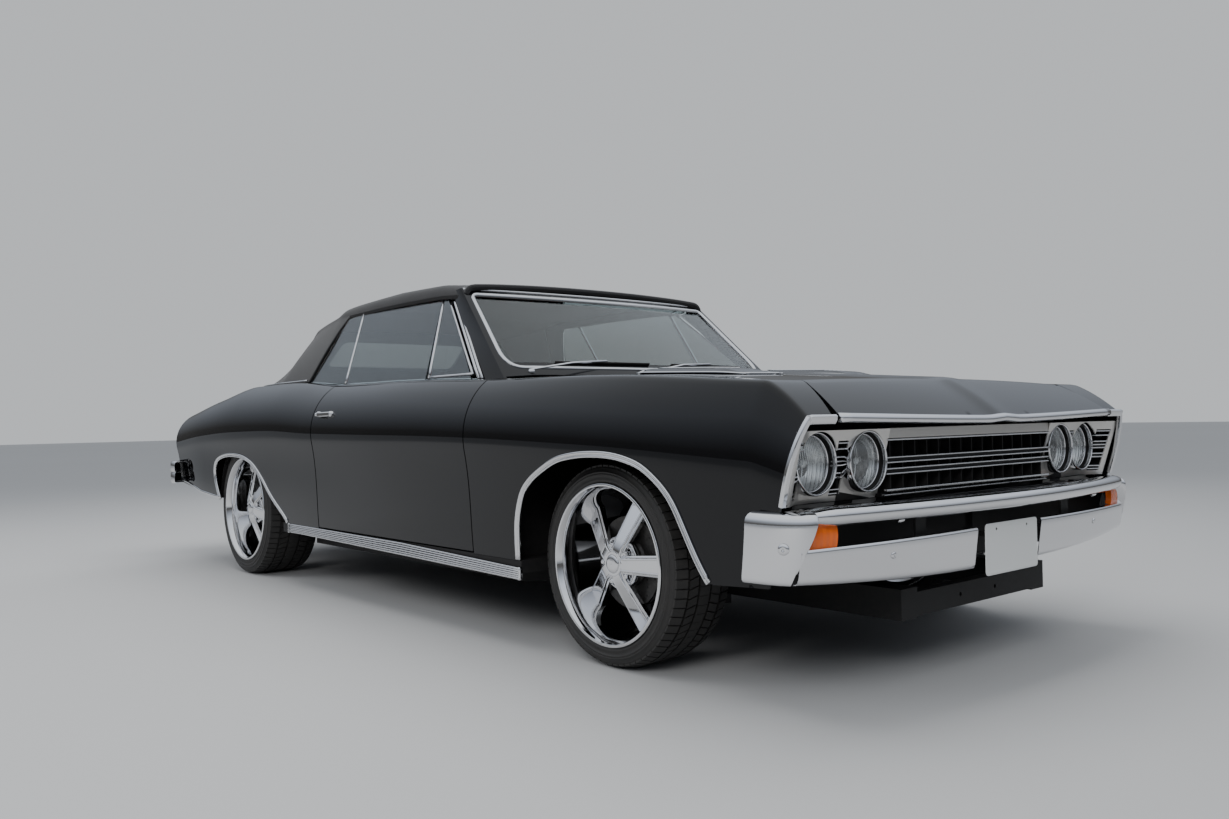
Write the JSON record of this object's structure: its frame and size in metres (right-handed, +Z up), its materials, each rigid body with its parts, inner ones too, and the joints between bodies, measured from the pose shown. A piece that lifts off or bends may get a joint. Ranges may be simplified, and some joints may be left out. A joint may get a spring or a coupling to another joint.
{
  "type": "two-door convertible car",
  "caption": "Classic two-door convertible with soft top up, long hood, short deck, bow bumpers, deep chrome spoked wheels, opening doors, hood and trunk lid, steering front wheels",
  "frame": {"origin": "on the ground, under the centre of the car's length and width", "axes": "+X points to the front of the car, +Y to its left side, +Z up"},
  "size_m": [5.0038, 1.928, 1.3979],
  "materials": {
    "body_paint": "high gloss black with clear coat",
    "underbody_paint": "satin black",
    "bright_trim": "polished",
    "wheel_chrome": "polished",
    "tyre_rubber": "satin black",
    "brake_iron": "machined",
    "top_fabric": "woven black",
    "clear_glass": "clear",
    "lamp_glass": "clear",
    "signal_plastic": "amber and red lenses",
    "grille_plastic": "black",
    "seat_leather": "soft red",
    "dash_plastic": "grained dark",
    "engine_iron": "painted",
    "pipe_steel": "dull"
  },
  "bodies": {
    "body": {"frame": "underbody_paint", "body_tub": "underbody_paint", "fenders": "body_paint", "quarter_panels": "body_paint", "tail_panel": "body_paint", "deck_panel": "body_paint", "rocker_mouldings": "bright_trim", "front_inner_panels": "underbody_paint", "grille": "grille_plastic", "headlamps": "lamp_glass", "front_bumper": "bright_trim", "rear_bumper": "bright_trim", "signal_lamps": "signal_plastic", "windshield_frame": "body_paint", "fixed_glass": "clear_glass", "soft_top": "top_fabric", "seats": "seat_leather", "dashboard": "dash_plastic", "engine": "engine_iron", "propshaft": "underbody_paint", "exhaust": "pipe_steel", "fuel_tank": "underbody_paint", "rear_axle": "underbody_paint", "suspension_arms": "underbody_paint"},
    "left_door": {"left_door": "body_paint", "left_door_glass": "clear_glass"},
    "right_door": {"right_door": "body_paint", "right_door_glass": "clear_glass"},
    "hood": {"hood": "body_paint"},
    "trunk_lid": {"trunk_lid": "body_paint"},
    "steering_wheel": {"steering_wheel": "dash_plastic"},
    "left_knuckle": {"left_knuckle": "underbody_paint"},
    "right_knuckle": {"right_knuckle": "underbody_paint"},
    "wheel_front_left": {"tyre_front_left": "tyre_rubber", "rim_front_left": "wheel_chrome", "brake_disc_front_left": "brake_iron"},
    "wheel_front_right": {"tyre_front_right": "tyre_rubber", "rim_front_right": "wheel_chrome", "brake_disc_front_right": "brake_iron"},
    "wheel_rear_left": {"tyre_rear_left": "tyre_rubber", "rim_rear_left": "wheel_chrome", "brake_disc_rear_left": "brake_iron"},
    "wheel_rear_right": {"tyre_rear_right": "tyre_rubber", "rim_rear_right": "wheel_chrome", "brake_disc_rear_right": "brake_iron"}
  },
  "joints": [
    {"name": "left_door_hinge", "type": "hinge", "parent": "body", "child": "left_door", "pos_m": [0.959, 0.924, 0.6], "axis": [0, 0, -1], "range_deg": [0, 65]},
    {"name": "right_door_hinge", "type": "hinge", "parent": "body", "child": "right_door", "pos_m": [0.959, -0.924, 0.6], "axis": [0, 0, 1], "range_deg": [0, 65]},
    {"name": "hood_hinge", "type": "hinge", "parent": "body", "child": "hood", "pos_m": [0.954, 0, 0.912], "axis": [0, -1, 0], "range_deg": [0, 55]},
    {"name": "trunk_lid_hinge", "type": "hinge", "parent": "body", "child": "trunk_lid", "pos_m": [-1.59, 0, 0.938], "axis": [0, 1, 0], "range_deg": [0, 65]},
    {"name": "left_steer", "type": "hinge", "parent": "body", "child": "left_knuckle", "pos_m": [1.57, 0.68, 0.322], "axis": [0, 0, 1], "range_deg": [-32, 32]},
    {"name": "right_steer", "type": "hinge", "parent": "body", "child": "right_knuckle", "pos_m": [1.57, -0.68, 0.322], "axis": [0, 0, 1], "range_deg": [-32, 32]},
    {"name": "steering_wheel_turn", "type": "hinge", "parent": "body", "child": "steering_wheel", "pos_m": [0.5, 0.37, 0.82], "axis": [-0.8984, 0, 0.4392], "range_deg": [-482, 482]},
    {"name": "wheel_front_left_spin", "type": "hinge", "parent": "left_knuckle", "child": "wheel_front_left", "pos_m": [1.57, 0.75, 0.322], "axis": [0, 1, 0], "continuous": true},
    {"name": "wheel_front_right_spin", "type": "hinge", "parent": "right_knuckle", "child": "wheel_front_right", "pos_m": [1.57, -0.75, 0.322], "axis": [0, 1, 0], "continuous": true},
    {"name": "wheel_rear_left_spin", "type": "hinge", "parent": "body", "child": "wheel_rear_left", "pos_m": [-1.351, 0.768, 0.342], "axis": [0, 1, 0], "continuous": true},
    {"name": "wheel_rear_right_spin", "type": "hinge", "parent": "body", "child": "wheel_rear_right", "pos_m": [-1.351, -0.768, 0.342], "axis": [0, 1, 0], "continuous": true}
  ],
  "couplings": [
    {"joint": "right_steer", "follows": "left_steer", "ratio": 1},
    {"joint": "steering_wheel_turn", "follows": "left_steer", "ratio": 15}
  ]
}
